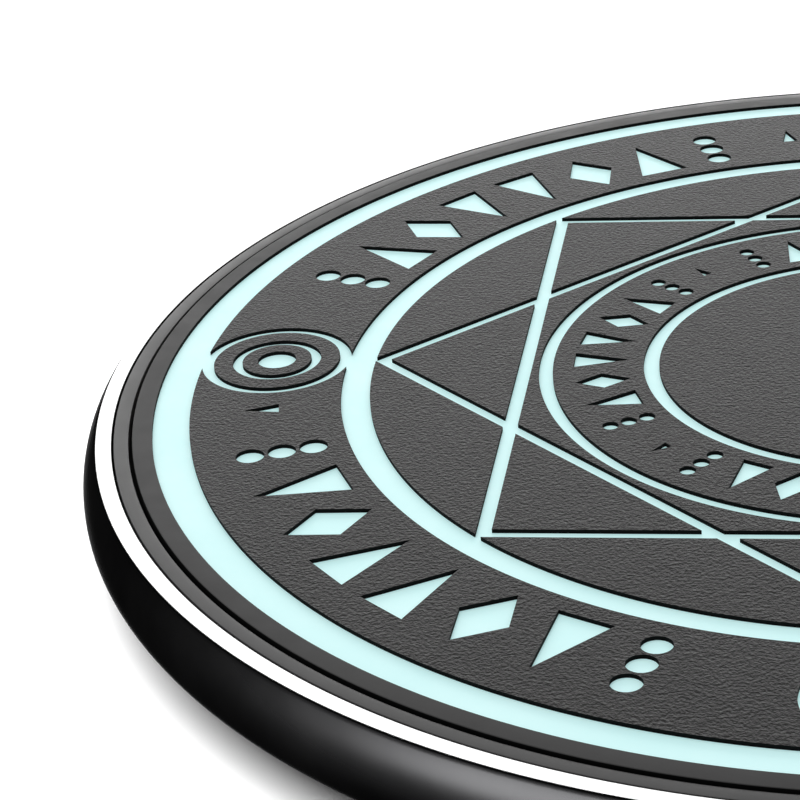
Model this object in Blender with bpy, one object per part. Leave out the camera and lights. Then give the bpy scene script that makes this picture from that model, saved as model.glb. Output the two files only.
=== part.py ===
"""Round wireless charging pad, 100 mm across and 7.4 mm thick.

A black dished housing carries a white edge light ring, a grey bezel and a
dark moulded panel whose etched channels let light through from a light guide.
Under the panel: light guide, reflector, LED ring board, mid frame, charging
coil on a ferrite disc, and a crescent circuit board with a USB-C inlet.

Frame: origin on the resting plane at the pad's centre, +Z up through the
panel, +Y towards the USB-C inlet.  Metres throughout (MM converts).
"""
import math

import bmesh
import bpy
from mathutils import Matrix, Vector

MM = 0.001

# ---------------------------------------------------------------- dimensions
PAD_R = 50.25           # largest radius of the housing
PAD_H = 7.4             # resting plane to panel surface
SEG = 64                # facets round the large turned pieces

SHELL_BOTTOM = 0.4      # underside of the housing above the resting plane
SHELL_FLOOR = 1.5       # inside floor of the housing
SHELL_RIM_Z = 7.2       # top of the housing's rim
SHELL_RIM_R = 49.12     # inner radius of the rim
BULGE_Z = 4.5           # height of the widest line
UNDER_A = 6.4           # lower quarter ellipse, across
UNDER_B = 4.1           # lower quarter ellipse, up
UPPER_A = 3.6           # upper shoulder ellipse, across
UPPER_B = 3.94          # upper shoulder ellipse, up

FOOT_IN, FOOT_OUT, FOOT_TOP = 34.0, 42.4, 0.85
FOOT_POCKET = 0.95      # ceiling of the pocket that holds the foot ring

PANEL_R = 46.93         # textured panel and its smooth border
PANEL_BOTTOM = 6.35
ETCH = 0.25             # depth of the light channels

BEZEL_IN, BEZEL_OUT = 47.18, 48.08
BEZEL_BOTTOM, BEZEL_TOP = 6.2, 7.17
LIGHT_IN, LIGHT_OUT = 48.24, 48.97
LIGHT_TOP = 7.31
LIGHT_FLANGE_IN, LIGHT_FLANGE_Z0, LIGHT_FLANGE_Z1 = 46.5, 5.45, 6.05

# etched pattern
RING_A = (43.41, 45.70)     # inner and outer radius of each ring channel
RING_B = (32.22, 34.03)
RING_C = (20.80, 21.67)
RING_D = (14.16, 15.13)
STAR_R = 31.85              # centreline radius of the eight star points
STAR_W = 0.88               # width of a star line
TARGET_AT = 38.72           # radius on which the four targets sit
TARGET_RADII = (4.82, 4.07, 2.86, 2.23)
TARGET_DOT = 1.24
BAND_OUT_R, BAND_OUT_H, BAND_OUT_W = 38.1, 5.6, 3.5
BAND_IN_R, BAND_IN_H, BAND_IN_W = 17.75, 3.5, 2.0

# light parts
GUIDE_R, GUIDE_Z0, GUIDE_Z1 = 44.4, 5.4, 6.2
REFLECTOR_R, REFLECTOR_Z0, REFLECTOR_Z1 = 43.6, 5.15, 5.28
FRAME_IN, FRAME_OUT, FRAME_Z0, FRAME_Z1 = 36.0, 46.2, 4.45, 4.95
LED_BOARD_IN, LED_BOARD_OUT = 43.9, 46.2
LED_BOARD_Z0, LED_BOARD_Z1 = 5.05, 5.25
LED_BOARD_GAP = 8.0         # half angle left open over the inlet, degrees
LED_COUNT = 8
LED_SIZE = (2.2, 0.8, 0.6)  # along the rim, across it, up
LED_R, LED_Z0 = 45.3, 5.35

# charging parts
COIL_IN, COIL_OUT, COIL_TURNS = 10.0, 22.0, 9
COIL_Z0, COIL_Z1 = 2.7, 3.7
WIRE_W = 1.02
FERRITE_R, FERRITE_Z0, FERRITE_Z1 = 24.0, 1.85, 2.55
TAPE_R, TAPE_Z0, TAPE_Z1 = 23.4, 1.6, 1.75
FILM_R, FILM_Z0, FILM_Z1 = 22.6, 3.85, 3.97
FOAM_IN, FOAM_OUT, FOAM_Z0, FOAM_Z1 = 11.0, 18.0, 4.15, 5.0
SLOT_X = -3.0               # the inner lead leaves through a slot here

# circuit board and inlet
BOARD_IN, BOARD_OUT = 26.5, 45.4
BOARD_HALF_ANGLE = 48.0
BOARD_Z0, BOARD_Z1 = 2.95, 3.75
USB_W, USB_H, USB_WALL = 8.94, 3.2, 0.3
USB_BACK, USB_FRONT = 42.0, 48.6
USB_Z = 3.35
PORT_W, PORT_H = 9.5, 3.6

# screws
BOSS_R = 40.0
BOSS_ANGLES = (25.0, 155.0, 205.0, 335.0)


# ------------------------------------------------------------------- helpers
def clear_scene():
    for ob in list(bpy.data.objects):
        bpy.data.objects.remove(ob, do_unlink=True)


def material(name, colour, roughness, metallic=0.0):
    mat = bpy.data.materials.new(name)
    mat.use_nodes = True
    shader = mat.node_tree.nodes["Principled BSDF"]
    shader.inputs["Base Color"].default_value = (*colour, 1.0)
    shader.inputs["Roughness"].default_value = roughness
    shader.inputs["Metallic"].default_value = metallic
    mat.diffuse_color = (*colour, 1.0)
    return mat


def finish(name, bm, mat=None, smooth_deg=35.0):
    """Turn a bmesh into a named object with outward faces."""
    bmesh.ops.remove_doubles(bm, verts=bm.verts, dist=1e-7)
    bmesh.ops.recalc_face_normals(bm, faces=bm.faces)
    mesh = bpy.data.meshes.new(name)
    bm.to_mesh(mesh)
    bm.free()
    mesh.shade_smooth()
    mesh.set_sharp_from_angle(angle=math.radians(smooth_deg))
    ob = bpy.data.objects.new(name, mesh)
    bpy.context.scene.collection.objects.link(ob)
    if mat is not None:
        mesh.materials.append(mat)
    return ob


def turned(name, profile, mat=None, segments=SEG, smooth_deg=35.0):
    """Spin a closed (radius, height) outline in mm about the Z axis."""
    bm = bmesh.new()
    ring = [bm.verts.new((r * MM, 0.0, z * MM)) for r, z in profile]
    edges = []
    for a, b in zip(ring, ring[1:] + ring[:1]):
        if a.co.x < 1e-9 and b.co.x < 1e-9:
            continue
        edges.append(bm.edges.new((a, b)))
    bmesh.ops.spin(bm, geom=ring + edges, cent=(0, 0, 0), axis=(0, 0, 1),
                   dvec=(0, 0, 0), angle=2 * math.pi, steps=segments,
                   use_merge=True)
    return finish(name, bm, mat, smooth_deg)


def ring_piece(name, r_in, r_out, z0, z1, mat=None, segments=SEG):
    return turned(name, [(r_in, z0), (r_out, z0), (r_out, z1), (r_in, z1)],
                  mat, segments)


def disc_piece(name, r, z0, z1, mat=None, segments=SEG):
    return turned(name, [(0.0, z0), (r, z0), (r, z1), (0.0, z1)], mat, segments)


def add_prism(bm, loop, z0, z1):
    """Extrude a flat outline (mm) from z0 to z1 inside bm."""
    verts = [bm.verts.new((x * MM, y * MM, z0 * MM)) for x, y in loop]
    face = bm.faces.new(verts)
    out = bmesh.ops.extrude_face_region(bm, geom=[face])
    moved = [g for g in out["geom"] if isinstance(g, bmesh.types.BMVert)]
    bmesh.ops.translate(bm, verts=moved, vec=(0, 0, (z1 - z0) * MM))


def add_annulus(bm, outer, inner, z0, z1):
    """A flat ring between two outlines with the same number of points."""
    levels = []
    for z in (z0, z1):
        levels.append([[bm.verts.new((x * MM, y * MM, z * MM))
                        for x, y in loop] for loop in (outer, inner)])
    (low_out, low_in), (top_out, top_in) = levels
    n = len(outer)
    for i in range(n):
        j = (i + 1) % n
        bm.faces.new((low_out[i], low_out[j], top_out[j], top_out[i]))
        bm.faces.new((low_in[j], low_in[i], top_in[i], top_in[j]))
        bm.faces.new((top_out[i], top_out[j], top_in[j], top_in[i]))
        bm.faces.new((low_out[j], low_out[i], low_in[i], low_in[j]))


def prism(name, loop, z0, z1, mat=None, smooth_deg=35.0):
    bm = bmesh.new()
    add_prism(bm, loop, z0, z1)
    return finish(name, bm, mat, smooth_deg)


def block(name, size, at, mat=None, turn=0.0, bevel=0.0):
    """A box with softened edges: size and centre in mm, turn in degrees."""
    bm = bmesh.new()
    bmesh.ops.create_cube(bm, size=1.0)
    bmesh.ops.scale(bm, verts=bm.verts, vec=[s * MM for s in size])
    if bevel > 0.0:
        bmesh.ops.bevel(bm, geom=list(bm.edges), offset=bevel * MM,
                        offset_type='OFFSET', segments=1, affect='EDGES',
                        clamp_overlap=True)
    place = (Matrix.Translation(Vector(at) * MM)
             @ Matrix.Rotation(math.radians(turn), 4, 'Z'))
    bmesh.ops.transform(bm, matrix=place, verts=bm.verts)
    return finish(name, bm, mat)


def circle(cx, cy, r, n, start=0.0):
    return [(cx + r * math.cos(start + 2 * math.pi * i / n),
             cy + r * math.sin(start + 2 * math.pi * i / n)) for i in range(n)]


def sector(r_in, r_out, a0, a1, n):
    """Outline of an annular sector between two angles in degrees."""
    arc = [math.radians(a0 + (a1 - a0) * i / n) for i in range(n + 1)]
    return ([(r_out * math.cos(a), r_out * math.sin(a)) for a in arc]
            + [(r_in * math.cos(a), r_in * math.sin(a)) for a in reversed(arc)])


def stadium(w, h, n=6):
    """A slot outline centred on zero: straight sides and round ends."""
    r = h / 2
    c = w / 2 - r
    right = [(c + r * math.cos(t), r * math.sin(t))
             for t in [-math.pi / 2 + math.pi * i / n for i in range(n + 1)]]
    left = [(-x, -y) for x, y in right]
    return right + left


def combine(target, cutter, operation):
    """Boolean target with cutter; the cutter stays only as a guide."""
    mod = target.modifiers.new(operation.title() + "_" + cutter.name, 'BOOLEAN')
    mod.operation = operation
    mod.solver = 'EXACT'
    mod.object = cutter
    cutter.hide_render = True
    cutter.display_type = 'WIRE'


def sweep(name, path, width, height, mat):
    """A rectangular strip along a path (mm); width lies across, height up."""
    pts = [Vector(p) for p in path]
    bm = bmesh.new()
    rows = []
    for i, p in enumerate(pts):
        a = pts[max(i - 1, 0)]
        b = pts[min(i + 1, len(pts) - 1)]
        along = (b - a).normalized()
        side = Vector((along.y, -along.x, 0.0))
        side = side.normalized() if side.length > 1e-6 else Vector((1, 0, 0))
        up = side.cross(along).normalized()
        corner = [side * width / 2 + up * height / 2,
                  side * -width / 2 + up * height / 2,
                  side * -width / 2 - up * height / 2,
                  side * width / 2 - up * height / 2]
        rows.append([bm.verts.new((p + c) * MM) for c in corner])
    for r0, r1 in zip(rows, rows[1:]):
        for k in range(4):
            bm.faces.new((r0[k], r0[(k + 1) % 4], r1[(k + 1) % 4], r1[k]))
    bm.faces.new(rows[0])
    bm.faces.new(list(reversed(rows[-1])))
    return finish(name, bm, mat, 50.0)


# ----------------------------------------------------------- etched ornament
def place(loop, radius, angle_deg):
    """Move a mark drawn about zero (x along the ring, y outwards) to its
    place on a ring of the given radius."""
    a = math.radians(angle_deg)
    er = (math.cos(a), math.sin(a))
    et = (-math.sin(a), math.cos(a))
    return [((radius + y) * er[0] + x * et[0], (radius + y) * er[1] + x * et[1])
            for x, y in loop]


def box_loop(x0, x1, y0, y1):
    return [(x0, y0), (x1, y0), (x1, y1), (x0, y1)]


def mark_shapes(kind, w, h):
    """Outlines of one plain geometric mark inside a w by h cell."""
    if kind == "tri_out":
        return [[(-w / 2, -h / 2), (w / 2, -h / 2), (0.0, h / 2)]]
    if kind == "tri_in":
        return [[(0.0, -h / 2), (w / 2, h / 2), (-w / 2, h / 2)]]
    if kind == "diamond":
        return [[(0, -h / 2), (w / 2, 0), (0, h / 2), (-w / 2, 0)]]
    if kind == "dots":
        return [circle(0.0, y, w * 0.25, 8, 0.05)
                for y in (-h * 0.345, 0.0, h * 0.345)]
    if kind == "tick":
        return [[(-w * 0.16, -h * 0.2), (w * 0.16, -h * 0.2), (0.0, h * 0.2)]]
    raise ValueError(kind)


GROUP = ("dots", "tri_out", "diamond", "tri_in", "tri_in", "diamond",
         "tri_out", "dots")


def band_loops(radius, h, w, centre_deg, pitch_deg, tick_offset, tick_out):
    """All marks of one band: four mirrored groups a quarter turn apart."""
    loops = []
    for quarter in range(4):
        mid = centre_deg + 90.0 * quarter
        for i, kind in enumerate(GROUP):
            at = mid + (len(GROUP) / 2 - 0.5 - i) * pitch_deg
            flip = -1.0 if i >= len(GROUP) // 2 else 1.0
            for loop in mark_shapes(kind, w, h):
                moved = [(x * flip, y) for x, y in loop]
                if flip < 0:
                    moved.reverse()
                loops.append(place(moved, radius, at))
        for loop in mark_shapes("tick", w, h):
            loops.append(place(loop, radius + tick_out, mid - tick_offset))
    return loops


# --------------------------------------------------------------------- parts
def make_shell():
    black = material("gloss_black_polycarbonate", (0.008, 0.008, 0.009), 0.16)
    outer = []
    n_low, n_up = 5, 3
    for i in range(n_low + 1):
        t = math.pi / 2 * i / n_low
        outer.append((PAD_R - UNDER_A + UNDER_A * math.sin(t),
                      BULGE_Z - UNDER_B * math.cos(t)))
    top_z = SHELL_RIM_Z
    for i in range(1, n_up + 1):
        z = BULGE_Z + (top_z - BULGE_Z) * i / n_up
        outer.append((PAD_R - UPPER_A + UPPER_A
                      * math.sqrt(1 - ((z - BULGE_Z) / UPPER_B) ** 2), z))
    pocket = [(0.0, SHELL_BOTTOM), (FOOT_IN - 0.1, SHELL_BOTTOM),
              (FOOT_IN - 0.1, FOOT_POCKET), (FOOT_OUT + 0.2, FOOT_POCKET),
              (FOOT_OUT + 0.2, SHELL_BOTTOM)]
    inner = [(SHELL_RIM_R, SHELL_RIM_Z), (SHELL_RIM_R, 5.3),
             (48.0, 5.3), (48.0, 4.2), (47.0, 2.9), (45.2, 2.0),
             (42.8, SHELL_FLOOR), (0.0, SHELL_FLOOR)]
    shell = turned("bottom_shell", pocket + outer + inner, black,
                   smooth_deg=40.0)

    for i, deg in enumerate(BOSS_ANGLES):
        a = math.radians(deg)
        x, y = BOSS_R * math.cos(a), BOSS_R * math.sin(a)
        boss = prism("guide_boss_%d" % i, circle(x, y, 2.7, 16), 1.2, 2.6)
        combine(shell, boss, 'UNION')
    for i, sx in enumerate((-1, 1)):
        post = prism("guide_post_%d" % i, circle(sx * 20.0, 30.0, 1.5, 12),
                     1.2, 2.75)
        combine(shell, post, 'UNION')
    for i, deg in enumerate(BOSS_ANGLES):
        a = math.radians(deg)
        x, y = BOSS_R * math.cos(a), BOSS_R * math.sin(a)
        bm = bmesh.new()
        add_prism(bm, circle(x, y, 1.05, 12), 0.2, 3.4)
        combine(shell, finish("guide_hole_%d" % i, bm), 'DIFFERENCE')
        bm = bmesh.new()
        add_prism(bm, circle(x, y, 2.0, 12), 0.2, 1.7)
        combine(shell, finish("guide_sink_%d" % i, bm), 'DIFFERENCE')

    bm = bmesh.new()
    add_prism(bm, stadium(PORT_W, PORT_H, 8), 0.0, 12.0)
    turn = (Matrix.Translation(Vector((0, USB_BACK - 0.5, USB_Z)) * MM)
            @ Matrix.Rotation(math.radians(-90), 4, 'X'))
    bmesh.ops.transform(bm, matrix=turn, verts=bm.verts)
    combine(shell, finish("guide_port", bm), 'DIFFERENCE')
    return shell


def make_panel():
    dark = material("textured_charcoal_panel", (0.085, 0.085, 0.088), 0.62)
    h = PAD_H
    panel = turned("top_panel", [(0.0, PANEL_BOTTOM), (PANEL_R, PANEL_BOTTOM),
                                 (PANEL_R, h - 0.12), (PANEL_R - 0.12, h),
                                 (0.0, h)], dark)
    floor, above = h - ETCH, h + 1.0

    for i, (r_in, r_out) in enumerate((RING_A, RING_B, RING_C, RING_D)):
        seg = SEG if r_out > 30 else 48
        combine(panel, ring_piece("guide_ring_%d" % i, r_in, r_out, floor,
                                  above, segments=seg), 'DIFFERENCE')

    inset = STAR_W / 2 * math.sqrt(2.0)
    for k in range(2):
        bm = bmesh.new()
        start = math.radians(45.0 * k)
        add_annulus(bm, circle(0, 0, STAR_R + inset, 4, start),
                    circle(0, 0, STAR_R - inset, 4, start), floor, above)
        combine(panel, finish("guide_square_%d" % k, bm), 'DIFFERENCE')

    for k in range(4):
        a = math.radians(90 * k)
        cx, cy = TARGET_AT * math.cos(a), TARGET_AT * math.sin(a)
        for j in (0, 2):
            bm = bmesh.new()
            add_annulus(bm, circle(cx, cy, TARGET_RADII[j], 18, 0.1),
                        circle(cx, cy, TARGET_RADII[j + 1], 18, 0.1),
                        floor, above)
            combine(panel, finish("guide_target_%d_%d" % (k, j), bm),
                    'DIFFERENCE')
        bm = bmesh.new()
        add_prism(bm, circle(cx, cy, TARGET_DOT, 12), floor, above)
        combine(panel, finish("guide_dot_%d" % k, bm), 'DIFFERENCE')

    bm = bmesh.new()
    loops = band_loops(BAND_OUT_R, BAND_OUT_H, BAND_OUT_W, 45.0, 7.3, 34.5, 0.9)
    loops += band_loops(BAND_IN_R, BAND_IN_H, BAND_IN_W, 86.0, 9.6, 43.5, 0.4)
    for loop in loops:
        add_prism(bm, loop, floor, above)
    combine(panel, finish("guide_marks", bm), 'DIFFERENCE')
    return panel


def make_rings():
    grey = material("satin_grey_bezel", (0.13, 0.13, 0.135), 0.38)
    c = 0.08
    turned("bezel_ring",
           [(BEZEL_IN, BEZEL_BOTTOM), (BEZEL_OUT, BEZEL_BOTTOM),
            (BEZEL_OUT, BEZEL_TOP - c), (BEZEL_OUT - c, BEZEL_TOP),
            (BEZEL_IN + c, BEZEL_TOP), (BEZEL_IN, BEZEL_TOP - c)], grey)
    white = material("white_light_diffuser", (0.95, 0.95, 0.95), 0.35)
    turned("edge_light_ring",
           [(LIGHT_FLANGE_IN, LIGHT_FLANGE_Z0), (LIGHT_OUT, LIGHT_FLANGE_Z0),
            (LIGHT_OUT, LIGHT_TOP), (LIGHT_IN, LIGHT_TOP),
            (LIGHT_IN, LIGHT_FLANGE_Z1), (LIGHT_FLANGE_IN, LIGHT_FLANGE_Z1)],
           white)
    rubber = material("black_silicone_foot", (0.02, 0.02, 0.02), 0.85)
    e = 0.15
    turned("anti_slip_ring",
           [(FOOT_IN + e, 0.0), (FOOT_OUT - e, 0.0), (FOOT_OUT, e),
            (FOOT_OUT, FOOT_TOP), (FOOT_IN, FOOT_TOP), (FOOT_IN, e)], rubber)


def make_light_parts():
    clear = material("clear_acrylic_guide", (0.78, 0.9, 0.92), 0.12)
    disc_piece("light_guide_plate", GUIDE_R, GUIDE_Z0, GUIDE_Z1, clear)
    film = material("white_reflector_film", (0.93, 0.93, 0.92), 0.5)
    disc_piece("reflector_film", REFLECTOR_R, REFLECTOR_Z0, REFLECTOR_Z1, film)

    ivory = material("white_abs_frame", (0.82, 0.82, 0.8), 0.55)
    frame = ring_piece("mid_frame", FRAME_IN, FRAME_OUT, FRAME_Z0, FRAME_Z1,
                       ivory)
    for i, deg in enumerate(BOSS_ANGLES):
        a = math.radians(deg)
        x, y = BOSS_R * math.cos(a), BOSS_R * math.sin(a)
        combine(frame, prism("guide_stud_%d" % i, circle(x, y, 2.2, 16), 2.75,
                             FRAME_Z0 + 0.25), 'UNION')
    for i, deg in enumerate(BOSS_ANGLES):
        a = math.radians(deg)
        x, y = BOSS_R * math.cos(a), BOSS_R * math.sin(a)
        combine(frame, prism("guide_bore_%d" % i, circle(x, y, 1.0, 12), 2.0,
                             4.4), 'DIFFERENCE')
    combine(frame, prism("guide_notch", box_loop(-5.0, 8.2, 41.2, 48.0), 4.0,
                         5.4), 'DIFFERENCE')

    green = material("white_solder_mask_led_board", (0.75, 0.76, 0.74), 0.4)
    prism("led_board", sector(LED_BOARD_IN, LED_BOARD_OUT,
                              90.0 + LED_BOARD_GAP, 450.0 - LED_BOARD_GAP, 60),
          LED_BOARD_Z0, LED_BOARD_Z1, green)
    for k in range(LED_COUNT):
        deg = 22.5 + 45.0 * k
        a = math.radians(deg)
        lamp = material("led_%d_package" % (k + 1), (0.95, 0.9, 0.6), 0.3)
        block("led_%d" % (k + 1), LED_SIZE,
              (LED_R * math.cos(a), LED_R * math.sin(a),
               LED_Z0 + LED_SIZE[2] / 2), lamp, turn=deg + 90.0)
    amber = material("amber_flex_tail", (0.55, 0.28, 0.05), 0.4)
    profile = [(43.0, 3.9), (44.95, 3.9), (44.95, 4.95), (44.75, 4.95),
               (44.75, 4.1), (43.0, 4.1)]
    bm = bmesh.new()
    verts = [bm.verts.new((6.5 * MM, y * MM, z * MM)) for y, z in profile]
    face = bm.faces.new(verts)
    out = bmesh.ops.extrude_face_region(bm, geom=[face])
    moved = [g for g in out["geom"] if isinstance(g, bmesh.types.BMVert)]
    bmesh.ops.translate(bm, verts=moved, vec=(1.2 * MM, 0, 0))
    finish("led_flex_tail", bm, amber)


def make_charging_parts():
    copper = material("enamelled_copper_coil", (0.72, 0.3, 0.12), 0.35, 0.9)
    per_turn = 24
    steps = COIL_TURNS * per_turn
    pitch = (COIL_OUT - COIL_IN) / COIL_TURNS
    mid = (COIL_Z0 + COIL_Z1) / 2
    path = []
    for i in range(steps + 1):
        a = math.pi / 2 - 2 * math.pi * i / per_turn
        r = COIL_IN + pitch * i / per_turn
        path.append((r * math.cos(a), r * math.sin(a), mid))
    sweep("charging_coil", path, WIRE_W, COIL_Z1 - COIL_Z0, copper)

    lead = material("copper_inner_lead", (0.72, 0.3, 0.12), 0.35, 0.9)
    sweep("coil_inner_lead",
          [(SLOT_X, 7.4, 3.2), (SLOT_X, 7.9, 2.6), (SLOT_X, 8.8, 2.2),
           (SLOT_X, 24.6, 2.2), (SLOT_X, 25.3, 2.6), (SLOT_X, 25.3, 3.8),
           (SLOT_X, 26.0, 4.25), (SLOT_X, 28.4, 4.25)], 0.7, 0.56, lead)
    lead = material("copper_outer_lead", (0.72, 0.3, 0.12), 0.35, 0.9)
    sweep("coil_outer_lead",
          [(3.0, 23.1, 3.2), (3.0, 24.6, 3.2), (3.0, 25.4, 3.6),
           (3.0, 25.9, 4.25), (3.0, 28.4, 4.25)], 0.7, 0.56, lead)

    grey = material("grey_ferrite", (0.07, 0.07, 0.075), 0.55)
    ferrite = disc_piece("ferrite_shield", FERRITE_R, FERRITE_Z0, FERRITE_Z1,
                         grey)
    combine(ferrite, prism("guide_slot", box_loop(SLOT_X - 0.7, SLOT_X + 0.7,
                                                  6.4, 30.0), 1.0, 3.5),
            'DIFFERENCE')
    tape = material("adhesive_tape", (0.8, 0.78, 0.7), 0.7)
    disc_piece("ferrite_adhesive", TAPE_R, TAPE_Z0, TAPE_Z1, tape)
    clear = material("amber_insulation_film", (0.6, 0.32, 0.06), 0.3)
    disc_piece("coil_insulation_film", FILM_R, FILM_Z0, FILM_Z1, clear, 48)
    foam = material("black_foam_spacer", (0.03, 0.03, 0.03), 0.95)
    ring_piece("foam_spacer", FOAM_IN, FOAM_OUT, FOAM_Z0, FOAM_Z1, foam, 32)
    bead = material("thermistor_epoxy", (0.03, 0.03, 0.035), 0.3)
    block("thermistor", (2.0, 1.25, 0.8), (0.0, 0.0, 3.1), bead, bevel=0.12)


def make_board():
    mask = material("green_solder_mask", (0.02, 0.16, 0.06), 0.35)
    board = prism("main_pcb", sector(BOARD_IN, BOARD_OUT,
                                     90 - BOARD_HALF_ANGLE,
                                     90 + BOARD_HALF_ANGLE, 18),
                  BOARD_Z0, BOARD_Z1, mask)
    combine(board, prism("guide_board_notch",
                         box_loop(-USB_W / 2 - 0.25, USB_W / 2 + 0.25, 41.7,
                                  50.0), 2.0, 5.0), 'DIFFERENCE')

    steel = material("usb_steel", (0.62, 0.62, 0.64), 0.25, 1.0)
    bm = bmesh.new()
    add_prism(bm, stadium(USB_W, USB_H, 8), 0.0, USB_FRONT - USB_BACK)
    turn = (Matrix.Translation(Vector((0, USB_BACK, USB_Z)) * MM)
            @ Matrix.Rotation(math.radians(-90), 4, 'X'))
    bmesh.ops.transform(bm, matrix=turn, verts=bm.verts)
    shell = finish("usb_c_shell", bm, steel)
    bm = bmesh.new()
    add_prism(bm, stadium(USB_W - 2 * USB_WALL, USB_H - 2 * USB_WALL, 8),
              -1.0, USB_FRONT - USB_BACK + 1.0)
    bmesh.ops.transform(bm, matrix=turn, verts=bm.verts)
    combine(shell, finish("guide_usb_bore", bm), 'DIFFERENCE')

    plastic = material("usb_black_insert", (0.015, 0.015, 0.015), 0.5)
    bm = bmesh.new()
    add_prism(bm, stadium(USB_W - 2 * USB_WALL - 0.3,
                          USB_H - 2 * USB_WALL - 0.3, 8), 0.1, 1.7)
    bmesh.ops.transform(bm, matrix=turn, verts=bm.verts)
    insert = finish("usb_c_insert", bm, plastic)
    combine(insert, block("guide_tongue", (6.7, 5.6, 0.7),
                          (0.0, USB_BACK + 1.2 + 2.8, USB_Z)), 'UNION')

    z = BOARD_Z1 + 0.12
    parts = (
        ("controller_chip", (5.0, 5.0, 0.8), (0.0, 32.0), 0.02, 0.5),
        ("power_stage_chip", (4.0, 4.0, 0.8), (8.0, 31.4), 0.02, 0.5),
        ("power_inductor", (4.4, 4.4, 1.0), (-8.4, 31.0), 0.10, 0.6),
        ("resonance_capacitor_1", (3.2, 2.5, 1.0), (13.4, 28.2), 0.45, 0.5),
        ("resonance_capacitor_2", (3.2, 2.5, 1.0), (17.4, 26.0), 0.45, 0.5),
        ("resonance_capacitor_3", (3.2, 2.5, 1.0), (13.0, 31.4), 0.45, 0.5),
        ("input_capacitor", (3.2, 1.6, 1.0), (-13.6, 26.8), 0.45, 0.5),
        ("bridge_mosfet_1", (3.3, 3.3, 0.8), (-14.2, 30.0), 0.02, 0.5),
        ("bridge_mosfet_2", (3.3, 3.3, 0.8), (-18.9, 27.2), 0.02, 0.5),
    )
    for name, size, (x, y), tone, rough in parts:
        warm = tone * (0.75 if "capacitor" in name else 1.0)
        mat = material(name + "_body", (tone, warm, warm * 0.9), rough)
        block(name, size, (x, y, z + size[2] / 2), mat, bevel=0.1)


def make_screws():
    for k, deg in enumerate(BOSS_ANGLES):
        zinc = material("zinc_screw_%d" % (k + 1), (0.55, 0.55, 0.56), 0.3, 1.0)
        screw = turned("screw_%d" % (k + 1),
                       [(0.0, 1.05), (1.75, 1.05), (1.75, 1.45), (0.8, 1.6),
                        (0.8, 4.0), (0.0, 4.3)], zinc, 12)
        a = math.radians(deg)
        place_at = Matrix.Translation(Vector((BOSS_R * math.cos(a),
                                              BOSS_R * math.sin(a), 0)) * MM)
        screw.data.transform(place_at)
        for turn in (0.0, 90.0):
            slot = block("guide_drive_%d_%d" % (k, int(turn)),
                         (1.6, 0.36, 0.5),
                         (BOSS_R * math.cos(a), BOSS_R * math.sin(a), 1.05),
                         turn=turn)
            combine(screw, slot, 'DIFFERENCE')


clear_scene()
make_shell()
make_panel()
make_rings()
make_light_parts()
make_charging_parts()
make_board()
make_screws()
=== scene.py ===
"""Looks for the round wireless charging pad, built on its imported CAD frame."""
import math

import bmesh
import bpy
from mathutils import Matrix, Vector


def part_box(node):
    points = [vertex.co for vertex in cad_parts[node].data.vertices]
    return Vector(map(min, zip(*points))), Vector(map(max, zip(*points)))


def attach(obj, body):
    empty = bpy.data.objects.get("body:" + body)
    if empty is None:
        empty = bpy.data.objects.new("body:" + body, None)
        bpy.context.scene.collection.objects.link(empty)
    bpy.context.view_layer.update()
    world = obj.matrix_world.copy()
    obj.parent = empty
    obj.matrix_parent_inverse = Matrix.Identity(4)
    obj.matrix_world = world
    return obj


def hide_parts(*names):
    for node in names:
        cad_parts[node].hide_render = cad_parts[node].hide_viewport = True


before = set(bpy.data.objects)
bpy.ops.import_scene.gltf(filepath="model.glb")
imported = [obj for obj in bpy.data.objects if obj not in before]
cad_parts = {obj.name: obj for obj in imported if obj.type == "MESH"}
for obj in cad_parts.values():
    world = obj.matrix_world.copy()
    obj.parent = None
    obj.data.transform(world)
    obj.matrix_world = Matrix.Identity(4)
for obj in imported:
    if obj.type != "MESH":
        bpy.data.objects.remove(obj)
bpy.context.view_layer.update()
MM = 0.001


def span(node):
    """Lowest and highest corner of a CAD node, in millimetres."""
    lo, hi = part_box(node)
    return lo / MM, hi / MM


# sizes read back from the CAD nodes, in millimetres
PANEL_LO, PANEL_HI = span("top_panel")
SHELL_LO, SHELL_HI = span("bottom_shell")
BEZEL_LO, BEZEL_HI = span("bezel_ring")
LIGHT_LO, LIGHT_HI = span("edge_light_ring")
FOOT_LO, FOOT_HI = span("anti_slip_ring")
USB_LO, USB_HI = span("usb_c_shell")
TOP = PANEL_HI.z
PANEL_R = PANEL_HI.x
BEZEL_R = BEZEL_HI.x
LIGHT_R = LIGHT_HI.x
PAD_R = SHELL_HI.x
USB_Z = (USB_LO.z + USB_HI.z) / 2

# etched pattern, as in the CAD model
ETCH = 0.25
RINGS = ((43.41, 45.70), (32.22, 34.03), (20.80, 21.67), (14.16, 15.13))
STAR_R, STAR_W = 31.85, 0.88
TARGET_AT = 38.72
TARGET_RADII = (4.82, 4.07, 2.86, 2.23)
TARGET_DOT = 1.24
BAND_OUT = (38.1, 5.6, 3.5)
BAND_IN = (17.75, 3.5, 2.0)
ROUND = 288


# ---------------------------------------------------------------- mesh tools
def link(name, bm, smooth_deg=32.0, mats=()):
    bmesh.ops.remove_doubles(bm, verts=bm.verts, dist=1e-7)
    bmesh.ops.recalc_face_normals(bm, faces=bm.faces)
    mesh = bpy.data.meshes.new(name)
    bm.to_mesh(mesh)
    bm.free()
    mesh.shade_smooth()
    mesh.set_sharp_from_angle(angle=math.radians(smooth_deg))
    ob = bpy.data.objects.new(name, mesh)
    bpy.context.scene.collection.objects.link(ob)
    for m in mats:
        mesh.materials.append(m)
    return ob


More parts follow.
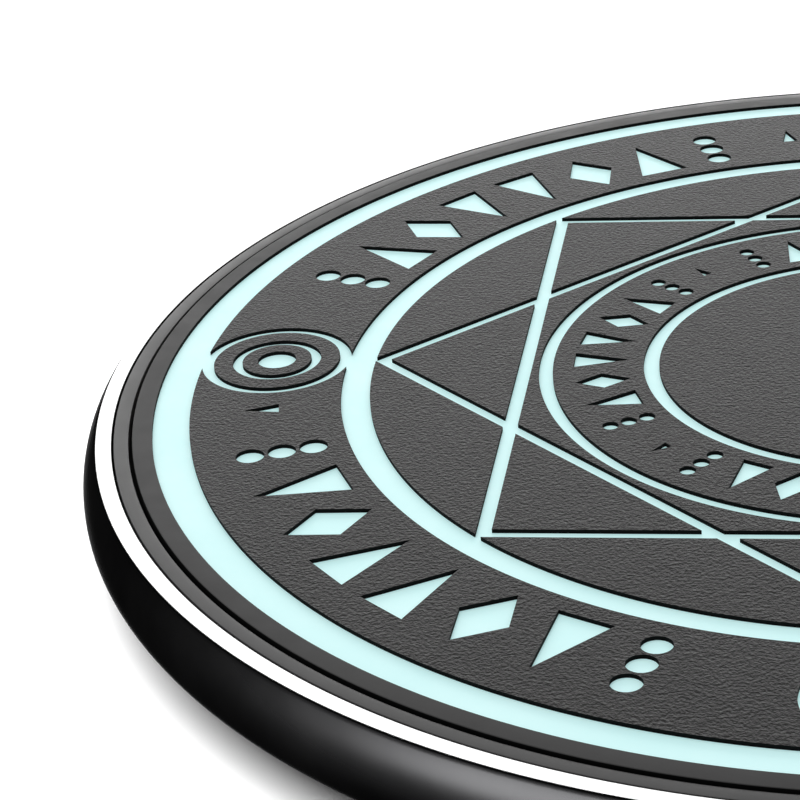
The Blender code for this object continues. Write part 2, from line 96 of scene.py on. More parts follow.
def turned(name, profile, mats=(), segments=ROUND, smooth_deg=32.0):
    bm = bmesh.new()
    ring = [bm.verts.new((r * MM, 0.0, z * MM)) for r, z in profile]
    edges = []
    for a, b in zip(ring, ring[1:] + ring[:1]):
        if a.co.x < 1e-9 and b.co.x < 1e-9:
            continue
        edges.append(bm.edges.new((a, b)))
    bmesh.ops.spin(bm, geom=ring + edges, cent=(0, 0, 0), axis=(0, 0, 1),
                   dvec=(0, 0, 0), angle=2 * math.pi, steps=segments,
                   use_merge=True)
    return link(name, bm, smooth_deg, mats)


def fillet(points, radii, n=5):
    """Round the corners of a closed outline; radii matches points."""
    out = []
    count = len(points)
    for i, (p, r) in enumerate(zip(points, radii)):
        if r <= 0:
            out.append(p)
            continue
        a = Vector(points[i - 1]) - Vector(p)
        b = Vector(points[(i + 1) % count]) - Vector(p)
        la, lb = a.length, b.length
        a.normalize()
        b.normalize()
        half = math.acos(max(-1.0, min(1.0, a.dot(b)))) / 2
        d = min(r / math.tan(half), la * 0.49, lb * 0.49)
        p0, p1 = Vector(p) + a * d, Vector(p) + b * d
        c = Vector(p)
        for k in range(n + 1):
            t = k / n
            q = p0 * (1 - t) ** 2 + c * 2 * t * (1 - t) + p1 * t * t
            out.append((q.x, q.y))
    return out


def prism_into(bm, loop, z0, z1):
    verts = [bm.verts.new((x * MM, y * MM, z0 * MM)) for x, y in loop]
    face = bm.faces.new(verts)
    out = bmesh.ops.extrude_face_region(bm, geom=[face])
    moved = [g for g in out["geom"] if isinstance(g, bmesh.types.BMVert)]
    bmesh.ops.translate(bm, verts=moved, vec=(0, 0, (z1 - z0) * MM))


def annulus_into(bm, outer, inner, z0, z1):
    levels = []
    for z in (z0, z1):
        levels.append([[bm.verts.new((x * MM, y * MM, z * MM))
                        for x, y in loop] for loop in (outer, inner)])
    (low_out, low_in), (top_out, top_in) = levels
    n = len(outer)
    for i in range(n):
        j = (i + 1) % n
        bm.faces.new((low_out[i], low_out[j], top_out[j], top_out[i]))
        bm.faces.new((low_in[j], low_in[i], top_in[i], top_in[j]))
        bm.faces.new((top_out[i], top_out[j], top_in[j], top_in[i]))
        bm.faces.new((low_out[j], low_out[i], low_in[i], low_in[j]))


def circle(cx, cy, r, n, start=0.0):
    return [(cx + r * math.cos(start + 2 * math.pi * i / n),
             cy + r * math.sin(start + 2 * math.pi * i / n)) for i in range(n)]


def stadium(w, h, n=16):
    r = h / 2
    c = w / 2 - r
    right = [(c + r * math.cos(t), r * math.sin(t))
             for t in [-math.pi / 2 + math.pi * i / n for i in range(n + 1)]]
    return right + [(-x, -y) for x, y in right]


def cut(target, cutters, operation='DIFFERENCE'):
    """Boolean the cutters into target and keep only the finished mesh."""
    for c in cutters:
        mod = target.modifiers.new("cut", 'BOOLEAN')
        mod.operation = operation
        mod.solver = 'EXACT'
        mod.object = c
    bpy.context.view_layer.update()
    dg = bpy.context.evaluated_depsgraph_get()
    mesh = bpy.data.meshes.new_from_object(target.evaluated_get(dg))
    old = target.data
    target.modifiers.clear()
    target.data = mesh
    bpy.data.meshes.remove(old)
    for c in cutters:
        data = c.data
        bpy.data.objects.remove(c, do_unlink=True)
        bpy.data.meshes.remove(data)
    return target


def crisp(ob, deg=32.0):
    ob.data.shade_smooth()
    ob.data.set_sharp_from_angle(angle=math.radians(deg))


# ------------------------------------------------------------ material tools
class Nodes:
    """Small helper to write a procedural Principled material."""

    def __init__(self, name):
        self.mat = bpy.data.materials.new(name)
        self.mat.use_nodes = True
        self.tree = self.mat.node_tree
        self.shader = self.tree.nodes["Principled BSDF"]
        self.coord = self.tree.nodes.new("ShaderNodeTexCoord")

    def set(self, **values):
        for key, value in values.items():
            self.shader.inputs[key.replace("_", " ")].default_value = value
        return self

    def node(self, kind, inputs=None, **props):
        n = self.tree.nodes.new(kind)
        for key, value in props.items():
            setattr(n, key, value)
        for key, value in (inputs or {}).items():
            if isinstance(value, bpy.types.NodeSocket):
                self.tree.links.new(value, n.inputs[key])
            else:
                n.inputs[key].default_value = value
        return n

    def place(self, scale=(1, 1, 1), turn=(0, 0, 0)):
        return self.node("ShaderNodeMapping",
                         {"Vector": self.coord.outputs["Object"],
                          "Scale": scale, "Rotation": turn}).outputs[0]

    def noise(self, per_mm, detail=3.0, rough=0.55, at=None, distort=0.0):
        n = self.node("ShaderNodeTexNoise",
                      {"Vector": at or self.coord.outputs["Object"],
                       "Scale": per_mm / MM, "Detail": detail,
                       "Roughness": rough, "Distortion": distort})
        return n.outputs["Fac"]

    def cells(self, per_mm, feature='SMOOTH_F1', at=None, jitter=1.0):
        n = self.node("ShaderNodeTexVoronoi",
                      {"Vector": at or self.coord.outputs["Object"],
                       "Scale": per_mm / MM, "Randomness": jitter},
                      feature=feature)
        return n.outputs["Distance"]

    def math(self, op, a, b=0.0, c=0.0):
        n = self.node("ShaderNodeMath", {0: a, 1: b, 2: c}, operation=op)
        return n.outputs[0]

    def ramp(self, fac, stops):
        n = self.node("ShaderNodeValToRGB", {"Fac": fac})
        ramp = n.color_ramp
        while len(ramp.elements) > 1:
            ramp.elements.remove(ramp.elements[-1])
        ramp.elements[0].position, ramp.elements[0].color = stops[0]
        for pos, col in stops[1:]:
            ramp.elements.new(pos).color = col
        return n.outputs["Color"]

    def spread(self, value, low, high, from_low=0.3, from_high=0.7):
        n = self.node("ShaderNodeMapRange",
                      {"Value": value, "From Min": from_low,
                       "From Max": from_high, "To Min": low, "To Max": high})
        return n.outputs["Result"]

    def bump(self, height, distance_mm, strength=1.0, under=None):
        inputs = {"Height": height, "Distance": distance_mm * MM,
                  "Strength": strength}
        if under is not None:
            inputs["Normal"] = under
        return self.node("ShaderNodeBump", inputs).outputs[0]

    def wire(self, socket, value):
        self.tree.links.new(value, self.shader.inputs[socket])
        return self


def grey(v, a=1.0):
    return (v, v, v, a)


def two_tone(n, fac, dark, light):
    return n.ramp(fac, [(0.3, (*dark, 1.0)), (0.7, (*light, 1.0))])


# ------------------------------------------------------------------- finishes
def panel_grain():
    """Matt coating with a fine leather grain moulded into it; its colour is
    darker in the grain's creases, painted crease shade, over a broad random
    mottle.
    """
    n = Nodes("charcoal_leather_grain")
    creases = n.noise(4.6, 2.5, 0.55, distort=0.3)
    pebble = n.cells(4.2, 'SMOOTH_F1')
    fine = n.noise(9.0, 2.0, 0.6)
    height = n.math('ADD', n.math('MULTIPLY', creases, 0.9),
                    n.math('MULTIPLY', pebble, 0.35))
    height = n.math('ADD', height, n.math('MULTIPLY', fine, 0.18))
    n.wire("Normal", n.bump(height, 0.14, 1.0))
    # colour follows the crease height: darker in the creases as painted shade,
    # with broad random mottling added
    tone = n.math('ADD', n.math('MULTIPLY', creases, 0.6),
                  n.math('MULTIPLY', n.noise(0.12, 2.0), 0.4))
    n.wire("Base Color", two_tone(n, tone, (0.0045, 0.0042, 0.0042),
                                  (0.0100, 0.0094, 0.0094)))
    n.wire("Roughness", n.spread(fine, 0.40, 0.52))
    n.set(Specular_IOR_Level=0.142)
    return n.mat


def panel_border():
    """The same coating left smooth on the panel's border."""
    n = Nodes("charcoal_smooth_border")
    fine = n.noise(9.0, 2.0, 0.6)
    n.wire("Normal", n.bump(fine, 0.004, 0.5))
    n.wire("Base Color", two_tone(n, n.noise(0.25, 3.0), (0.042, 0.0415, 0.0415),
                                  (0.048, 0.0475, 0.0475)))
    n.wire("Roughness", n.spread(n.noise(0.6, 4.0), 0.48, 0.56))
    n.set(Specular_IOR_Level=0.11)
    return n.mat


# near-black and matt: painted shade on the channel walls, on the panel's outer
# wall in the groove and on the light ring's hidden faces, where these recesses
# fall dark
def painted_shade_wall():
    n = Nodes("painted_shade_channel_wall")
    fine = n.noise(8.0, 2.0)
    n.wire("Base Color", two_tone(n, fine, (0.001, 0.0012, 0.0012),
                                  (0.003, 0.0035, 0.0035)))
    n.wire("Roughness", n.spread(fine, 0.75, 0.9))
    n.set(Specular_IOR_Level=0.1)
    return n.mat


def lit_channel():
    """Bare translucent panel at the foot of the channels, lit pale cyan."""
    n = Nodes("lit_cyan_channel")
    cloud = n.noise(0.18, 3.0, 0.5)
    fine = n.noise(4.0, 2.0, 0.6)
    n.wire("Base Color", two_tone(n, cloud, (0.58, 0.85, 0.85),
                                  (0.62, 0.88, 0.88)))
    n.wire("Normal", n.bump(fine, 0.006, 0.4))
    n.wire("Roughness", n.spread(fine, 0.42, 0.58))
    n.wire("Emission Color", two_tone(n, cloud, (0.60, 0.98, 0.98),
                                      (0.66, 1.0, 1.0)))
    n.set(Emission_Strength=0.20, Specular_IOR_Level=0.2)
    return n.mat


def bezel_finish():
    n = Nodes("satin_grey_bezel")
    fine = n.noise(7.0, 3.0, 0.6)
    n.wire("Normal", n.bump(fine, 0.005, 0.5))
    n.wire("Base Color", two_tone(n, n.noise(0.3, 3.0), (0.066, 0.0655, 0.0655),
                                  (0.074, 0.0735, 0.0735)))
    n.wire("Roughness", n.spread(n.noise(0.5, 4.0), 0.36, 0.44))
    n.set(Specular_IOR_Level=0.16)
    return n.mat


def light_ring_finish():
    n = Nodes("white_light_diffuser")
    cloud = n.noise(0.2, 3.0)
    fine = n.noise(5.0, 2.0)
    n.wire("Base Color", two_tone(n, cloud, (0.93, 0.93, 0.93),
                                  (0.97, 0.97, 0.97)))
    n.wire("Normal", n.bump(fine, 0.003, 0.4))
    n.wire("Roughness", n.spread(fine, 0.3, 0.42))
    n.wire("Emission Color", two_tone(n, cloud, (0.96, 0.96, 0.96),
                                      (1.0, 1.0, 1.0)))
    n.set(Emission_Strength=0.3, Specular_IOR_Level=0.4)
    return n.mat


def housing_gloss():
    """High gloss black moulding with faint handling haze."""
    n = Nodes("gloss_black_housing")
    haze = n.noise(0.08, 5.0, 0.6)
    ripple = n.noise(0.35, 2.0)
    n.wire("Base Color", two_tone(n, haze, (0.0030, 0.0030, 0.0031),
                                  (0.0042, 0.0042, 0.0043)))
    n.wire("Roughness", n.spread(haze, 0.33, 0.39))
    n.wire("Normal", n.bump(ripple, 0.004, 0.25))
    n.set(Metallic=1.0, Specular_Tint=(0.0, 0.0, 0.0, 1.0))
    return n.mat


def housing_matt():
    """Spark-eroded texture on the flat underside."""
    n = Nodes("matt_black_base")
    grit = n.noise(6.0, 4.0, 0.7)
    n.wire("Base Color", two_tone(n, grit, (0.008, 0.008, 0.008),
                                  (0.016, 0.016, 0.016)))
    n.wire("Roughness", n.spread(grit, 0.55, 0.72))
    n.wire("Normal", n.bump(grit, 0.03, 0.7))
    n.set(Specular_IOR_Level=0.4)
    return n.mat


def silicone():
    n = Nodes("black_silicone_foot")
    grit = n.noise(4.5, 3.0, 0.7)
    dust = n.noise(1.2, 5.0, 0.75)
    n.wire("Base Color", n.ramp(dust, [(0.45, (0.012, 0.012, 0.012, 1)),
                                       (0.75, (0.035, 0.035, 0.034, 1))]))
    n.wire("Roughness", n.spread(grit, 0.78, 0.95))
    n.wire("Normal", n.bump(grit, 0.02, 0.6))
    n.set(Specular_IOR_Level=0.25)
    return n.mat


def steel(name, tone=0.6, rough=(0.22, 0.34), stretch=(1, 1, 12)):
    n = Nodes(name)
    grain = n.noise(1.4, 3.0, 0.6, at=n.place(scale=stretch))
    n.wire("Base Color", two_tone(n, grain, (tone * 0.9,) * 3,
                                  (tone, tone, tone * 1.02)))
    n.wire("Roughness", n.spread(grain, *rough))
    n.wire("Normal", n.bump(grain, 0.004, 0.4))
    n.set(Metallic=1.0)
    return n.mat


def plain(name, dark, light, rough, bump_mm=0.006, per_mm=3.0, **extra):
    """Moulded or printed surface: mottled colour, uneven gloss, fine relief."""
    n = Nodes(name)
    grain = n.noise(per_mm, 3.0, 0.6)
    n.wire("Base Color", two_tone(n, grain, dark, light))
    n.wire("Roughness", n.spread(grain, *rough))
    n.wire("Normal", n.bump(grain, bump_mm, 0.6))
    n.set(**extra)
    return n.mat


# ------------------------------------------------------------ etched ornament
def put(loop, radius, angle_deg):
    a = math.radians(angle_deg)
    er = (math.cos(a), math.sin(a))
    et = (-math.sin(a), math.cos(a))
    return [((radius + y) * er[0] + x * et[0], (radius + y) * er[1] + x * et[1])
            for x, y in loop]


def box_loop(x0, x1, y0, y1):
    return [(x0, y0), (x1, y0), (x1, y1), (x0, y1)]


def mark_shapes(kind, w, h):
    if kind == "tri_out":
        return [[(-w / 2, -h / 2), (w / 2, -h / 2), (0.0, h / 2)]]
    if kind == "tri_in":
        return [[(0.0, -h / 2), (w / 2, h / 2), (-w / 2, h / 2)]]
    if kind == "diamond":
        return [[(0, -h / 2), (w / 2, 0), (0, h / 2), (-w / 2, 0)]]
    if kind == "dots":
        return [circle(0.0, y, w * 0.25, 24, 0.05)
                for y in (-h * 0.345, 0.0, h * 0.345)]
    if kind == "tick":
        return [[(-w * 0.16, -h * 0.2), (w * 0.16, -h * 0.2), (0.0, h * 0.2)]]
    raise ValueError(kind)


GROUP = ("dots", "tri_out", "diamond", "tri_in", "tri_in", "diamond",
         "tri_out", "dots")


def band_loops(radius, h, w, centre_deg, pitch_deg, tick_offset, tick_out):
    loops = []
    for quarter in range(4):
        mid = centre_deg + 90.0 * quarter
        for i, kind in enumerate(GROUP):
            at = mid + (len(GROUP) / 2 - 0.5 - i) * pitch_deg
            flip = -1.0 if i >= len(GROUP) // 2 else 1.0
            for loop in mark_shapes(kind, w, h):
                moved = [(x * flip, y) for x, y in loop]
                if flip < 0:
                    moved.reverse()
                loops.append(put(moved, radius, at))
        for loop in mark_shapes("tick", w, h):
            loops.append(put(loop, radius + tick_out, mid - tick_offset))
    return loops


# ---------------------------------------------------------------------- camera
def make_camera():
    """The photograph's viewpoint, given from the middle of the top face."""
    yaw, pitch, roll = (math.radians(v) for v in (10.988, 26.070, -5.017))
    fwd = Vector((-math.sin(yaw) * math.cos(pitch),
                  math.cos(yaw) * math.cos(pitch), -math.sin(pitch)))
    right = Vector((math.cos(yaw), math.sin(yaw), 0.0))
    up = right.cross(fwd)
    r2 = right * math.cos(roll) + up * math.sin(roll)
    u2 = up * math.cos(roll) - right * math.sin(roll)
    data = bpy.data.cameras.new("camera")
    data.sensor_width = 36.0
    data.lens = 36.0 * 2671.883 / 800.0
    data.clip_start, data.clip_end = 0.005, 10.0
    cam = bpy.data.objects.new("camera", data)
    bpy.context.scene.collection.objects.link(cam)
    at = Vector((-1.5315, -151.4058, 72.5391 + TOP)) * MM
    m = Matrix((r2, u2, -fwd)).transposed().to_4x4()
    m.translation = at
    cam.matrix_world = m
    bpy.context.scene.camera = cam
    return cam


# ----------------------------------------------------------------------- stage
def only_on(lights, pieces):
    """Let some lights shine on the given pieces only."""
    lit = bpy.data.collections.new("lit_by_" + lights[0].name)
    for piece in pieces:
        lit.objects.link(piece)
    for ob in lights:
        ob.light_linking.receiver_collection = lit


def keep_off_floor(floor, lights):
    """Keep lights that only draw a sheen on the pad from reaching the floor."""
    only_on(lights, [ob for ob in bpy.data.objects
                     if ob.type == 'MESH' and ob != floor])


def make_stage():
    bm = bmesh.new()
    bmesh.ops.create_circle(bm, cap_ends=True, segments=64, radius=3.0)
    floor = link("floor", bm)
    n = Nodes("pale_floor")
    soft = n.noise(0.02, 2.0)
    n.wire("Base Color", two_tone(n, soft, (0.93, 0.93, 0.93),
                                  (0.95, 0.95, 0.95)))
    n.set(Roughness=0.9, Specular_IOR_Level=0.0)
    floor.data.materials.append(n.mat)
    floor.location = (0, 0, -0.00002)

    world = bpy.data.worlds.new("studio")
    bpy.context.scene.world = world
    world.use_nodes = True
    world.node_tree.nodes["Background"].inputs[0].default_value = (1, 1, 1, 1)
    world.node_tree.nodes["Background"].inputs[1].default_value = WORLD

    def area(name, azimuth, elevation, distance, size, watts, size_y=None):
        data = bpy.data.lights.new(name, 'AREA')
        data.shape = 'RECTANGLE'
        data.size, data.size_y = size, size_y or size
        data.energy = watts
        ob = bpy.data.objects.new(name, data)
        bpy.context.scene.collection.objects.link(ob)
        a, e = math.radians(azimuth), math.radians(elevation)
        d = Vector((math.cos(a) * math.cos(e), math.sin(a) * math.cos(e),
                    math.sin(e)))
        ob.location = d * distance
        ob.rotation_mode = 'QUATERNION'
        ob.rotation_quaternion = d.to_track_quat('Z', 'Y')
        ob.visible_camera = False
        return ob

    keep_off_floor(floor, [area(*spec) for spec in LIGHTS][1:])
    only_on([area(*spec) for spec in FLOOR_LIGHTS], [floor])
    return [area(*spec) for spec in SIDE_LIGHTS]


# name, azimuth (0 is +X, 90 is away from the viewer), elevation, distance,
# width, watts, height
WORLD = 0.50
LIGHTS = (
    ("overhead", 150.0, 80.0, 0.60, 0.45, 1.2, 0.45),
    ("back", 98.0, 15.0, 0.80, 0.90, 3.1, 0.26),
)
# a wash for the floor alone, and low strips kept off everything but the
# housing, as a studio's flags would keep them
FLOOR_LIGHTS = (("floor_wash", 225.0, 84.0, 0.55, 0.90, 9.0, 0.90),)
SIDE_LIGHTS = (
    ("low_front", 246.0, 22.0, 0.50, 0.72, 72.0, 0.30),
    ("low_right", 330.0, 18.0, 0.50, 0.40, 12.0, 0.24),
    ("low_back", 60.0, 18.0, 0.50, 0.40, 10.0, 0.24),
    ("low_back_left", 125.0, 18.0, 0.50, 0.30, 8.0, 0.24),
)


# ---------------------------------------------------------------------- pieces
def make_panel():
    grain, border, shade_wall, lit = (panel_grain(), panel_border(), painted_shade_wall(),
                                lit_channel())
    rim = fillet([(0.0, PANEL_LO.z), (PANEL_R, PANEL_LO.z), (PANEL_R, TOP),
                  (0.0, TOP)], [0, 0.05, 0.06, 0], 5)
    panel = turned("panel_moulding", rim)
    floor, above = TOP - ETCH, TOP + 1.0
    plain_cut = bmesh.new()
    for r_in, r_out in RINGS:
        annulus_into(plain_cut, circle(0, 0, r_out, ROUND),
                     circle(0, 0, r_in, ROUND), floor, above)
    loops = band_loops(*BAND_OUT, 45.0, 7.3, 34.5, 0.9)
    loops += band_loops(*BAND_IN, 86.0, 9.6, 43.5, 0.4)
    for loop in loops:
        prism_into(plain_cut, loop, floor, above)
    target_cut = bmesh.new()
    for k in range(4):
        a = math.radians(90 * k)
        cx, cy = TARGET_AT * math.cos(a), TARGET_AT * math.sin(a)
        for j, into in ((0, target_cut), (2, plain_cut)):
            annulus_into(into, circle(cx, cy, TARGET_RADII[j], 96, 0.013),
                         circle(cx, cy, TARGET_RADII[j + 1], 96, 0.013),
                         floor, above)
        prism_into(plain_cut, circle(cx, cy, TARGET_DOT, 48), floor, above)
    cutters = [link("cut_plain", plain_cut), link("cut_targets", target_cut)]
    inset = STAR_W / 2 * math.sqrt(2.0)
    for k in range(2):
        start = math.radians(45.0 * k)
        bm = bmesh.new()
        annulus_into(bm, circle(0, 0, STAR_R + inset, 4, start),
                     circle(0, 0, STAR_R - inset, 4, start), floor, above)
        cutters.append(link("cut_square_%d" % k, bm))
    cut(panel, cutters)
    mesh = panel.data
    mesh.materials.clear()
    for m in (grain, border, shade_wall, lit):
        mesh.materials.append(m)
    split = (RINGS[0][0] + RINGS[0][1]) / 2
    for p in mesh.polygons:
        c = p.center / MM
        r = math.hypot(c.x, c.y)
        low = min(math.hypot(mesh.vertices[v].co.x, mesh.vertices[v].co.y)
                  for v in p.vertices) / MM
        # faces under the channel floor, the channel walls and the panel's outer
        # wall below its top edge take the near-black painted shade
        if c.z < floor - 0.02:
            p.material_index = 2
        elif p.normal.z > 0.9 and c.z < TOP - ETCH / 2:
            p.material_index = 3
        elif p.normal.z > 0.2:
            p.material_index = 1 if low > split else 0
        elif r > PANEL_R - 0.2:
            p.material_index = 1 if c.z > TOP - 0.03 else 2
        else:
            p.material_index = 2
    crisp(panel)
    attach(panel, "root")
    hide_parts("top_panel")
    return panel


def make_rings():
    z0, z1 = BEZEL_LO.z, BEZEL_HI.z + 0.12
    b_in = 47.18
    bezel = turned("bezel_trim", fillet(
        [(b_in, z0), (BEZEL_R, z0), (BEZEL_R, z1), (b_in + 0.25, z1),
         (b_in, z1 - 0.02)],
        [0, 0, 0.05, 0, 0.02]), [bezel_finish()])
    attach(bezel, "root")
    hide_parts("bezel_ring")

    f_in, z0, z1 = 46.5, LIGHT_LO.z, LIGHT_HI.z
    r_in, r_out = 48.23, 49.19
    ring = turned("edge_light", fillet(
        [(f_in, z0), (LIGHT_R, z0), (r_out, z0 + 0.6), (r_out, z1), (r_in, z1),
         (r_in, z0 + 0.6), (f_in, z0 + 0.6)],
        [0.05, 0.05, 0.05, 0.03, 0.02, 0, 0.05]),
        [light_ring_finish(), painted_shade_wall()])
    # the ring's walls and its flange under the bezel take the near-black painted
    # shade, for the dark gaps beside the bezel and in the groove
    for p in ring.data.polygons:
        c = p.center / MM
        if c.z < z1 - 0.02 and (abs(p.normal.z) < 0.3 or c.z < z0 + 1.0):
            p.material_index = 1
    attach(ring, "root")
    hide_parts("edge_light_ring")

    f_in, f_out = 34.0, FOOT_HI.x
    z0, z1 = FOOT_LO.z, FOOT_HI.z
    foot = turned("silicone_foot", fillet(
        [(f_in, z0), (f_out, z0), (f_out, z1), (f_in, z1)],
        [0.25, 0.25, 0.05, 0.05], 6), [silicone()])
    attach(foot, "root")
    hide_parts("anti_slip_ring")


def make_housing():
    bottom, rim_z = SHELL_LO.z, SHELL_HI.z
    bulge, under_a, under_b = 4.5, 6.4, 4.1
    upper_a, upper_b = 3.6, 3.94
    outer = []
    for i in range(29):
        t = math.pi / 2 * i / 28
        outer.append((PAD_R - under_a + under_a * math.sin(t),
                      bulge - under_b * math.cos(t)))
    top_z = rim_z - 0.02
    for i in range(1, 19):
        z = bulge + (top_z - bulge) * i / 18
        outer.append((PAD_R - upper_a + upper_a
                      * math.sqrt(1 - ((z - bulge) / upper_b) ** 2), z))
    rim_r = 49.21
    outer += [(rim_r + 0.04, rim_z), (rim_r + 0.01, rim_z)]
    pocket = [(0.0, bottom), (33.87, bottom), (33.9, bottom + 0.03),
              (33.9, 0.95), (42.6, 0.95), (42.6, bottom + 0.03),
              (42.63, bottom)]
    inner = [(rim_r, rim_z - 0.03), (rim_r, 5.3), (48.0, 5.3), (48.0, 4.2),
             (47.0, 2.9), (45.2, 2.0), (42.8, 1.5), (0.0, 1.5)]
    shell = turned("housing", pocket + outer + inner, smooth_deg=35.0)

    bosses, cutters = [], []
    for i, deg in enumerate((25.0, 155.0, 205.0, 335.0)):
        a = math.radians(deg)
        x, y = 40.0 * math.cos(a), 40.0 * math.sin(a)
        for name, r, z0, z1, group in (("boss", 2.7, 1.2, 2.6, bosses),
                                       ("hole", 1.05, 0.2, 3.4, cutters),
                                       ("sink", 2.0, 0.2, 1.7, cutters)):
            bm = bmesh.new()
            prism_into(bm, circle(x, y, r, 32), z0, z1)
            group.append(link("cut_%s_%d" % (name, i), bm))
    bm = bmesh.new()
    prism_into(bm, stadium(9.5, 3.6, 20), 0.0, 12.0)
    turn = (Matrix.Translation(Vector((0, USB_LO.y - 0.5, USB_Z)) * MM)
            @ Matrix.Rotation(math.radians(-90), 4, 'X'))
    bmesh.ops.transform(bm, matrix=turn, verts=bm.verts)
    cutters.append(link("cut_port", bm))
    cut(shell, bosses, 'UNION')
    cut(shell, cutters)
    mesh = shell.data
    mesh.materials.clear()
    for m in (housing_gloss(), housing_matt()):
        mesh.materials.append(m)
    for p in mesh.polygons:
        c = p.center / MM
        flat = p.normal.z < -0.95 and c.z < 1.0
        mesh_r = math.hypot(c.x, c.y)
        p.material_index = 1 if flat and mesh_r < 43.5 else 0
    crisp(shell, 35.0)
    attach(shell, "root")
    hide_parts("bottom_shell")
    return shell


def make_inlet():
    turn = (Matrix.Translation(Vector((0, USB_LO.y, USB_Z)) * MM)
            @ Matrix.Rotation(math.radians(-90), 4, 'X'))
    deep = USB_HI.y - USB_LO.y
    w, h = USB_HI.x - USB_LO.x, USB_HI.z - USB_LO.z
    bm = bmesh.new()
    annulus_into(bm, stadium(w, h, 20), stadium(w - 0.6, h - 0.6, 20), 0.0,
                 deep)
    bmesh.ops.transform(bm, matrix=turn, verts=bm.verts)
    tube = link("inlet_steel_shell", bm, mats=[steel("inlet_steel", 0.62,
                                                     (0.2, 0.32), (1, 8, 1))])
    bev = tube.modifiers.new("edge", 'BEVEL')
    bev.width, bev.segments, bev.limit_method = 0.05 * MM, 2, 'ANGLE'
    bev.angle_limit = math.radians(60)
    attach(tube, "root")
    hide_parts("usb_c_shell")

    bm = bmesh.new()
    prism_into(bm, stadium(w - 0.9, h - 0.9, 20), 0.1, 1.7)
    bmesh.ops.transform(bm, matrix=turn, verts=bm.verts)
    insert = link("inlet_insert", bm)
    bm = bmesh.new()
    prism_into(bm, stadium(6.7, 0.7, 8), 1.2, deep - 0.5)
    bmesh.ops.transform(bm, matrix=turn, verts=bm.verts)
    cut(insert, [link("cut_tongue", bm)], 'UNION')
    insert.data.materials.clear()
    insert.data.materials.append(plain(
        "inlet_black_plastic", (0.010, 0.010, 0.010), (0.02, 0.02, 0.02),
        (0.4, 0.55), 0.004, 5.0))
    crisp(insert)
    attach(insert, "root")
    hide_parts("usb_c_insert")

    bm = bmesh.new()
    for i in range(12):
        x = -2.75 + 0.5 * i
        for side in (-1, 1):
            out = bmesh.ops.create_cube(bm, size=1.0)
            bmesh.ops.scale(bm, verts=out["verts"],
                            vec=(0.27 * MM, 3.4 * MM, 0.04 * MM))
            bmesh.ops.translate(
                bm, verts=out["verts"],
                vec=Vector((x, USB_LO.y + deep - 2.4, USB_Z + side * 0.372)) * MM)
    bmesh.ops.bevel(bm, geom=list(bm.edges), offset=0.012 * MM, segments=1,
                    affect='EDGES', offset_type='OFFSET')
    gold = Nodes("gold_contacts")
    rub = gold.noise(3.0, 3.0)
    gold.wire("Base Color", two_tone(gold, rub, (0.75, 0.48, 0.15),
                                     (0.85, 0.58, 0.22)))
    gold.wire("Roughness", gold.spread(rub, 0.22, 0.36))
    gold.set(Metallic=1.0)
    pads = link("inlet_contacts", bm, mats=[gold.mat])
    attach(pads, "root")


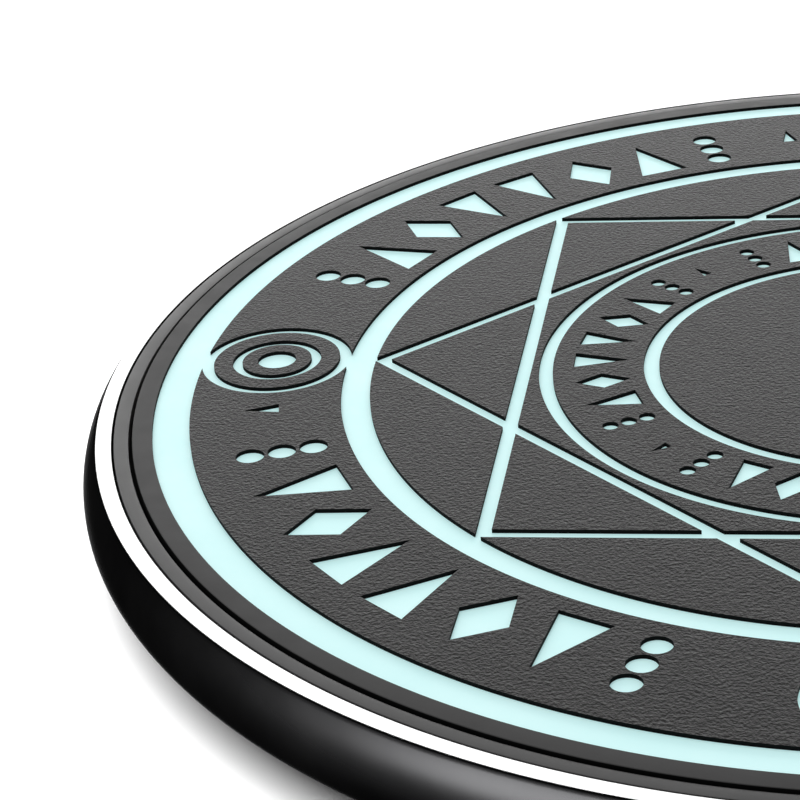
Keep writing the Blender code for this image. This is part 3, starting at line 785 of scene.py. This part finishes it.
def dress_inside():
    """Node-based finishes on the CAD nodes that stay as they are."""
    board = Nodes("green_board")
    tracks = board.cells(0.5, 'F1', jitter=0.3)
    board.wire("Base Color", board.ramp(tracks, [
        (0.10, (0.02, 0.20, 0.07, 1)), (0.45, (0.008, 0.09, 0.03, 1))]))
    board.wire("Roughness", board.spread(board.noise(3.0), 0.3, 0.42))
    board.wire("Normal", board.bump(tracks, 0.01, 0.5))

    wire = Nodes("enamelled_copper")
    strands = wire.node("ShaderNodeTexWave",
                        {"Vector": wire.coord.outputs["Object"],
                         "Scale": 900.0, "Distortion": 1.5},
                        wave_type='RINGS').outputs["Fac"]
    wire.wire("Base Color", two_tone(wire, strands, (0.50, 0.16, 0.05),
                                     (0.80, 0.34, 0.14)))
    wire.wire("Roughness", wire.spread(strands, 0.25, 0.4))
    wire.wire("Normal", wire.bump(strands, 0.03, 0.6))
    wire.set(Metallic=0.85)

    guide = Nodes("clear_acrylic_guide")
    dots = guide.cells(1.0, 'F1', jitter=0.1)
    guide.wire("Base Color", guide.ramp(dots, [
        (0.12, (0.95, 1.0, 1.0, 1)), (0.2, (0.75, 0.92, 0.93, 1))]))
    guide.wire("Roughness", guide.spread(dots, 0.25, 0.08, 0.1, 0.3))
    guide.set(Transmission_Weight=0.6, IOR=1.49)

    looks = {
        "light_guide_plate": guide.mat,
        "reflector_film": plain("white_reflector", (0.86, 0.86, 0.85),
                                (0.95, 0.95, 0.94), (0.35, 0.5), 0.002, 1.0),
        "mid_frame": plain("white_abs", (0.74, 0.74, 0.72),
                           (0.82, 0.82, 0.80), (0.45, 0.6), 0.01, 4.0),
        "led_board": plain("white_led_board", (0.70, 0.71, 0.69),
                           (0.78, 0.79, 0.77), (0.35, 0.5), 0.004, 2.0),
        "led_flex_tail": plain("amber_flex", (0.45, 0.20, 0.03),
                               (0.60, 0.30, 0.06), (0.3, 0.45), 0.003, 2.0),
        "coil_insulation_film": plain("amber_film", (0.50, 0.24, 0.04),
                                      (0.62, 0.32, 0.07), (0.2, 0.35), 0.004,
                                      0.6),
        "charging_coil": wire.mat,
        "coil_inner_lead": wire.mat,
        "coil_outer_lead": wire.mat,
        "foam_spacer": plain("closed_cell_foam", (0.012, 0.012, 0.012),
                             (0.04, 0.04, 0.04), (0.85, 0.98), 0.08, 3.0),
        "ferrite_shield": plain("sintered_ferrite", (0.045, 0.045, 0.05),
                                (0.075, 0.075, 0.08), (0.4, 0.6), 0.01, 2.0),
        "ferrite_adhesive": plain("adhesive_tape", (0.72, 0.70, 0.60),
                                  (0.84, 0.82, 0.74), (0.5, 0.7), 0.01, 1.5),
        "thermistor": plain("thermistor_epoxy", (0.01, 0.01, 0.012),
                            (0.03, 0.03, 0.034), (0.2, 0.4), 0.02, 2.0),
        "main_pcb": board.mat,
        "power_inductor": plain("inductor_composite", (0.06, 0.06, 0.06),
                                (0.11, 0.11, 0.11), (0.5, 0.7), 0.02, 5.0),
    }
    chip = plain("chip_epoxy", (0.010, 0.010, 0.010), (0.025, 0.025, 0.025),
                 (0.45, 0.62), 0.01, 6.0)
    for name in ("controller_chip", "power_stage_chip", "bridge_mosfet_1",
                 "bridge_mosfet_2"):
        looks[name] = chip
    ceramic = plain("ceramic_capacitor", (0.38, 0.27, 0.19),
                    (0.50, 0.37, 0.28), (0.4, 0.55), 0.006, 4.0)
    for name in ("resonance_capacitor_1", "resonance_capacitor_2",
                 "resonance_capacitor_3", "input_capacitor"):
        looks[name] = ceramic
    lamp = plain("led_phosphor", (0.85, 0.78, 0.40), (0.95, 0.90, 0.60),
                 (0.2, 0.35), 0.003, 4.0)
    screw = steel("zinc_screw", 0.55, (0.28, 0.42), (1, 1, 1))
    for name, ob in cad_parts.items():
        if name.startswith("led_") and name[4:].isdigit():
            looks[name] = lamp
        if name.startswith("screw_"):
            looks[name] = screw
    for name, mat in looks.items():
        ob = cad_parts[name]
        ob.data.materials.clear()
        ob.data.materials.append(mat)


make_camera()
make_panel()
make_rings()
housing = make_housing()
make_inlet()
dress_inside()
only_on(make_stage(), [housing])

view = bpy.context.scene.view_settings
view.view_transform = 'Standard'
view.look = 'None'
view.exposure, view.gamma = 0.0, 1.0
